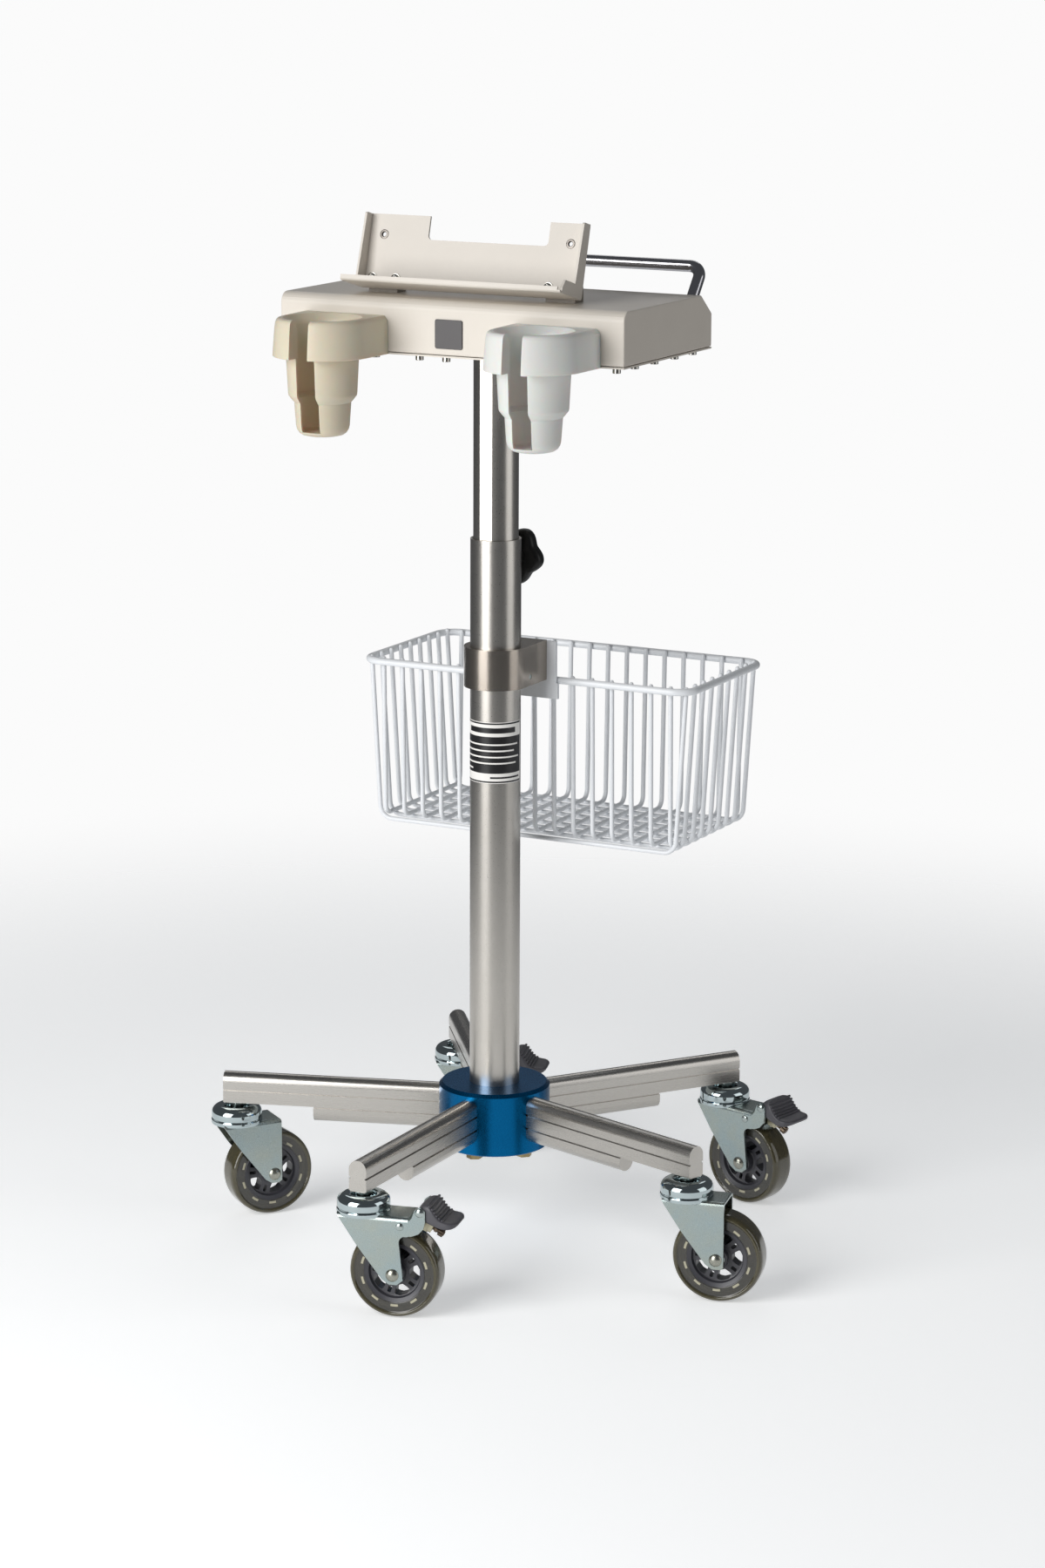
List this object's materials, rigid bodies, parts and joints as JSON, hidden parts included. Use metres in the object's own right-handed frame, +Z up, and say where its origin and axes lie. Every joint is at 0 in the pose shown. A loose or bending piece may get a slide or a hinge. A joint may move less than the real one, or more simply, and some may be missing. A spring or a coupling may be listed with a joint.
{
  "type": "mobile patient monitor stand",
  "caption": "Rolling star-base stand for a patient monitor: swivel casters, telescopic column with clamping knob, tray with leaning device plate, probe cups, wire basket and rear handle.",
  "frame": {"origin": "on the floor, under the middle of the whole stand with its casters trailing as at rest; the column's axis stands at x = -22 mm, y = 12.7 mm", "axes": "+Z up, -Y towards the probe holders and the front arm, +X to the right as seen from the front"},
  "size_m": [0.5505, 0.5002, 0.9214],
  "materials": {
    "hub_blue": "anodised",
    "arm_aluminium": "satin anodised",
    "tube_aluminium": "satin anodised",
    "zinc_steel": "bright zinc plated",
    "bolt_steel": "zinc plated",
    "black_plastic": "moulded",
    "spring_steel": "black paint",
    "rod_chrome": "hard chrome",
    "clamp_aluminium": "satin",
    "white_coating": "plastic coated wire",
    "tray_paint": "powder coat",
    "bracket_paint": "powder coat",
    "foot_metal": "satin",
    "screw_steel": "zinc plated",
    "handle_steel": "satin",
    "badge_plastic": "matt",
    "ivory_plastic": "moulded",
    "white_plastic": "moulded",
    "rim_plastic": "moulded",
    "tyre_urethane": "translucent urethane",
    "pedal_plastic": "moulded"
  },
  "bodies": {
    "base": {"hub": "hub_blue", "hub_bolts": "bolt_steel", "centre_bolt": "bolt_steel", "caster_stems": "zinc_steel", "arm_front": "arm_aluminium", "arm_front_right": "arm_aluminium", "arm_rear_right": "arm_aluminium", "arm_rear_left": "arm_aluminium", "arm_front_left": "arm_aluminium", "column_lower": "tube_aluminium", "guide_bush": "black_plastic", "gas_spring_cylinder": "spring_steel", "basket_clamp": "clamp_aluminium", "clamp_screws": "screw_steel", "basket_plate": "white_coating", "basket_rim": "white_coating", "basket_front_wires": "white_coating", "basket_back_wires": "white_coating", "basket_left_wires": "white_coating", "basket_right_wires": "white_coating", "basket_floor_wires": "white_coating"},
    "upper": {"column_upper": "tube_aluminium", "gas_spring_rod": "rod_chrome", "column_flange": "tray_paint", "tray_cover": "tray_paint", "tray_base": "tray_paint", "tray_screws": "screw_steel", "tray_badge": "badge_plastic", "device_bracket": "bracket_paint", "bracket_feet": "foot_metal", "bracket_screws": "screw_steel", "handle": "handle_steel", "probe_holder_left": "ivory_plastic", "probe_holder_right": "white_plastic"},
    "shoe": {"brake_shoe": "black_plastic"},
    "knob": {"knob": "black_plastic"},
    "swivel_front": {"fork_front": "zinc_steel", "axle_front": "bolt_steel"},
    "wheel_front": {"rim_front": "rim_plastic", "tyre_front": "tyre_urethane"},
    "brake_front": {"pedal_front": "pedal_plastic"},
    "swivel_front_right": {"fork_front_right": "zinc_steel", "axle_front_right": "bolt_steel"},
    "wheel_front_right": {"rim_front_right": "rim_plastic", "tyre_front_right": "tyre_urethane"},
    "swivel_rear_right": {"fork_rear_right": "zinc_steel", "axle_rear_right": "bolt_steel"},
    "wheel_rear_right": {"rim_rear_right": "rim_plastic", "tyre_rear_right": "tyre_urethane"},
    "brake_rear_right": {"pedal_rear_right": "pedal_plastic"},
    "swivel_rear_left": {"fork_rear_left": "zinc_steel", "axle_rear_left": "bolt_steel"},
    "wheel_rear_left": {"rim_rear_left": "rim_plastic", "tyre_rear_left": "tyre_urethane"},
    "brake_rear_left": {"pedal_rear_left": "pedal_plastic"},
    "swivel_front_left": {"fork_front_left": "zinc_steel", "axle_front_left": "bolt_steel"},
    "wheel_front_left": {"rim_front_left": "rim_plastic", "tyre_front_left": "tyre_urethane"}
  },
  "joints": [
    {"name": "column_slide", "type": "slide", "parent": "base", "child": "upper", "axis": [0, 0, 1], "range_m": [-0.14, 0.15]},
    {"name": "knob_turn", "type": "hinge", "parent": "shoe", "child": "knob", "pos_m": [-0.022, 0.0127, 0.617], "axis": [0, 1, 0], "range_deg": [0, 360]},
    {"name": "shoe_slide", "type": "slide", "parent": "base", "child": "shoe", "axis": [0, 1, 0], "range_m": [0, 0.0015]},
    {"name": "swivel_front", "type": "hinge", "parent": "base", "child": "swivel_front", "pos_m": [-0.022, -0.2266, 0.104], "axis": [0, 0, 1], "continuous": true},
    {"name": "roll_front", "type": "hinge", "parent": "swivel_front", "child": "wheel_front", "pos_m": [0.00723, -0.21985, 0.04], "axis": [-0.225, 0.9744, 0], "continuous": true},
    {"name": "brake_front", "type": "hinge", "parent": "swivel_front", "child": "brake_front", "pos_m": [0.0311, -0.21434, 0.098], "axis": [-0.225, 0.9744, 0], "range_deg": [0, 18]},
    {"name": "swivel_front_right", "type": "hinge", "parent": "base", "child": "swivel_front_right", "pos_m": [0.20559, -0.06125, 0.104], "axis": [0, 0, 1], "continuous": true},
    {"name": "roll_front_right", "type": "hinge", "parent": "swivel_front_right", "child": "wheel_front_right", "pos_m": [0.23493, -0.05501, 0.04], "axis": [-0.2079, 0.9781, 0], "continuous": true},
    {"name": "swivel_rear_right", "type": "hinge", "parent": "base", "child": "swivel_rear_right", "pos_m": [0.11866, 0.2063, 0.104], "axis": [0, 0, 1], "continuous": true},
    {"name": "roll_rear_right", "type": "hinge", "parent": "swivel_rear_right", "child": "wheel_rear_right", "pos_m": [0.14795, 0.19981, 0.04], "axis": [0.2164, 0.9763, 0], "continuous": true},
    {"name": "brake_rear_right", "type": "hinge", "parent": "swivel_rear_right", "child": "brake_rear_right", "pos_m": [0.17186, 0.1945, 0.098], "axis": [0.2164, 0.9763, 0], "range_deg": [0, 18]},
    {"name": "swivel_rear_left", "type": "hinge", "parent": "base", "child": "swivel_rear_left", "pos_m": [-0.16266, 0.2063, 0.104], "axis": [0, 0, 1], "continuous": true},
    {"name": "roll_rear_left", "type": "hinge", "parent": "swivel_rear_left", "child": "wheel_rear_left", "pos_m": [-0.13412, 0.21557, 0.04], "axis": [-0.309, 0.9511, 0], "continuous": true},
    {"name": "brake_rear_left", "type": "hinge", "parent": "swivel_rear_left", "child": "brake_rear_left", "pos_m": [-0.11082, 0.22314, 0.098], "axis": [-0.309, 0.9511, 0], "range_deg": [0, 18]},
    {"name": "swivel_front_left", "type": "hinge", "parent": "base", "child": "swivel_front_left", "pos_m": [-0.24959, -0.06125, 0.104], "axis": [0, 0, 1], "continuous": true},
    {"name": "roll_front_left", "type": "hinge", "parent": "swivel_front_left", "child": "wheel_front_left", "pos_m": [-0.23174, -0.03713, 0.04], "axis": [-0.8039, 0.5948, 0], "continuous": true}
  ],
  "couplings": [
    {"joint": "shoe_slide", "follows": "knob_turn", "m_per_rad": 0.00023873}
  ]
}
